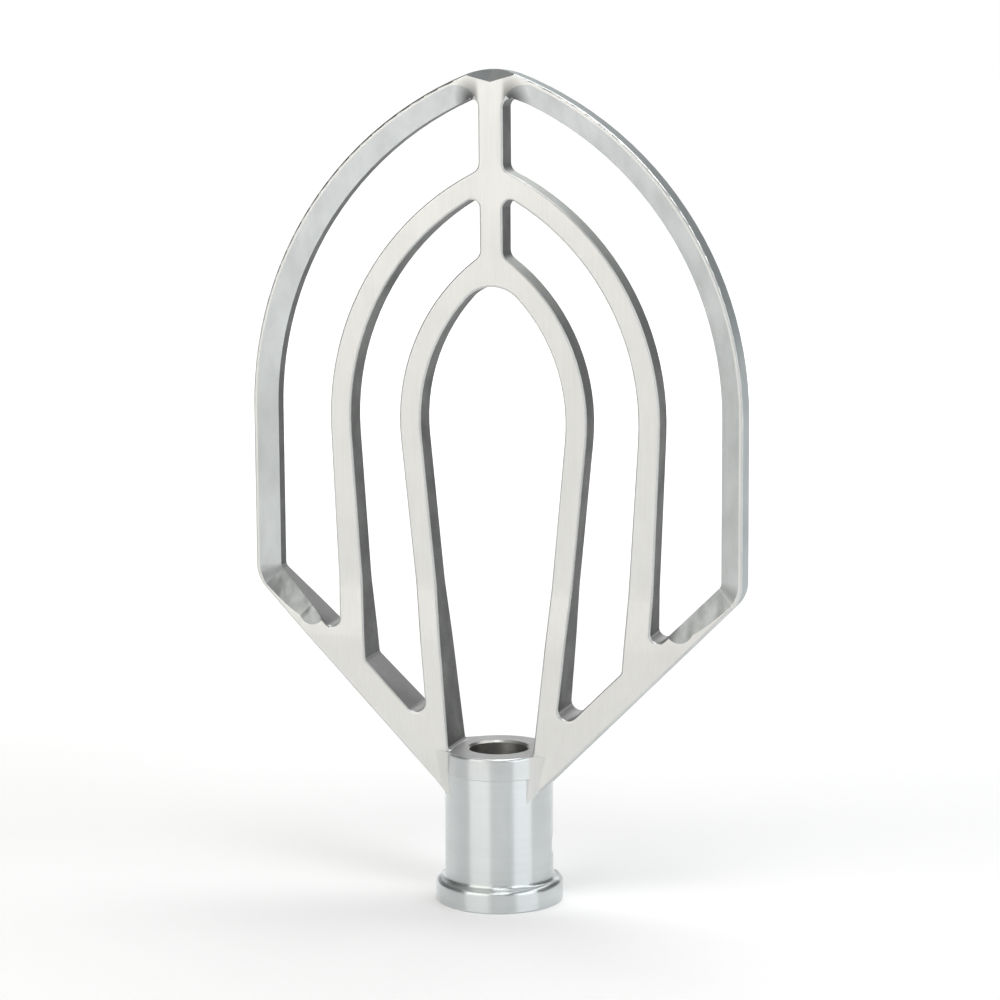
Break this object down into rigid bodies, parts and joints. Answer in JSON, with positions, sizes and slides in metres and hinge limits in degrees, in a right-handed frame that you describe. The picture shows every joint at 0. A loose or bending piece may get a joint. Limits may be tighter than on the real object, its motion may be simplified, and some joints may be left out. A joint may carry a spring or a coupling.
{
  "type": "mixer flat beater",
  "caption": "Flat cast mixer beater: nested pointed loops on a central spine, drawn in by diagonal arms to a turned hub with a flange, a through bore and a slot for a cross pin.",
  "frame": {"origin": "middle of the flange's face, on the axis of the bore", "axes": "+Z along the bore, from the flange to the peak of the loops; X across the loops; Y through their thickness, and the side shown in the picture faces -Y"},
  "size_m": [0.19, 0.0484, 0.3129],
  "materials": {
    "casting": "sanded flat faces, ground bevels and a turned hub, uncoated"
  },
  "bodies": {
    "root": {"beater_casting": "casting"}
  },
  "joints": []
}
